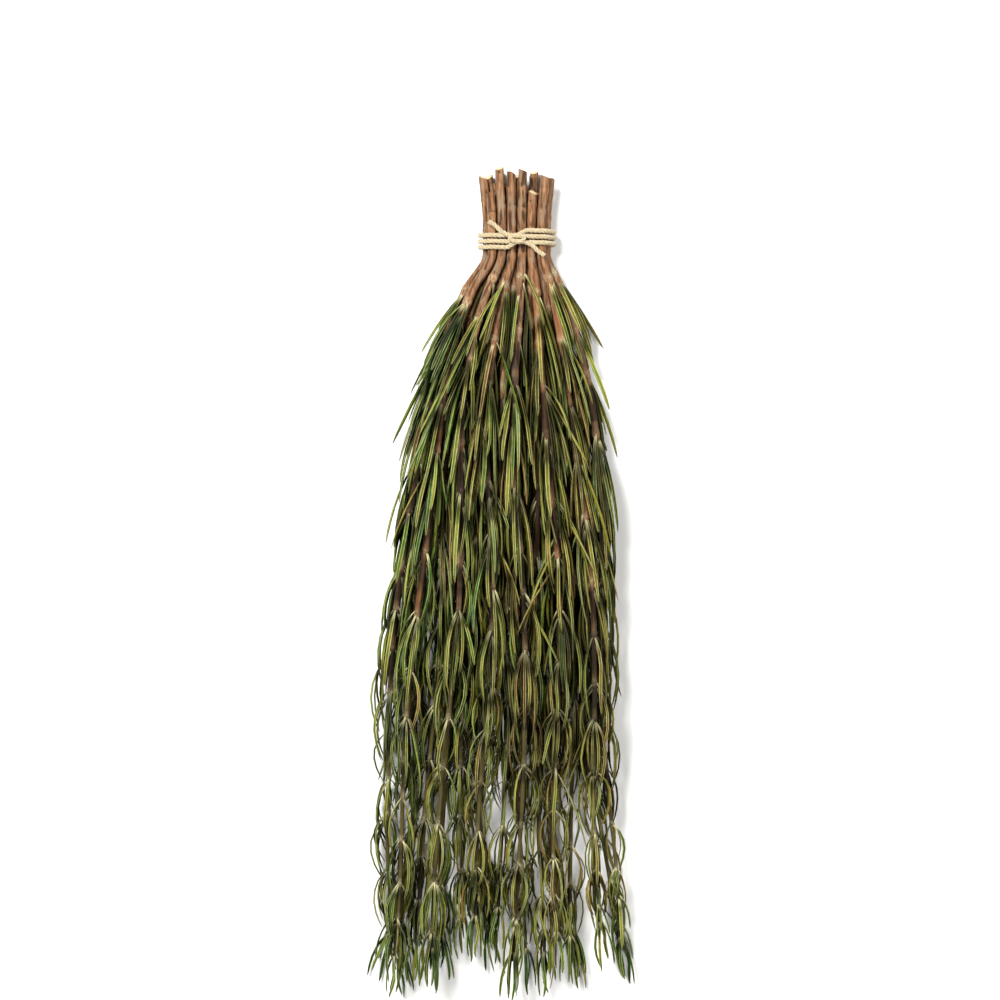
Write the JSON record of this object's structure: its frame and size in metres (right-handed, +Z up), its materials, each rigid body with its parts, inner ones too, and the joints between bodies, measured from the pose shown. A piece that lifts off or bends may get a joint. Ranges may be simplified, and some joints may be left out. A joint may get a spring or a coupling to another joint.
{
  "type": "rosemary bundle",
  "caption": "Bundle of leafy rosemary sprigs tied with twine near the cut ends of their stems, lying flat.",
  "frame": {"origin": "on the surface that the bundle lies on, under the middle of the tie", "axes": "+Y along the sprigs towards their cut ends (the tips point to -Y), +Z up, +X across the bundle"},
  "size_m": [0.0897, 0.2762, 0.0315],
  "materials": {
    "sprig": "matte olive-green needle leaves on brown woody stems",
    "twine": "matte off-white cotton twine"
  },
  "bodies": {
    "root": {"sprig_01": "sprig", "sprig_02": "sprig", "sprig_03": "sprig", "sprig_04": "sprig", "sprig_05": "sprig", "sprig_06": "sprig", "sprig_07": "sprig", "sprig_08": "sprig", "sprig_09": "sprig", "sprig_10": "sprig", "sprig_11": "sprig", "sprig_12": "sprig", "sprig_13": "sprig", "sprig_14": "sprig", "sprig_15": "sprig", "sprig_16": "sprig", "sprig_17": "sprig", "sprig_18": "sprig", "sprig_19": "sprig", "tie": "twine"}
  },
  "joints": []
}
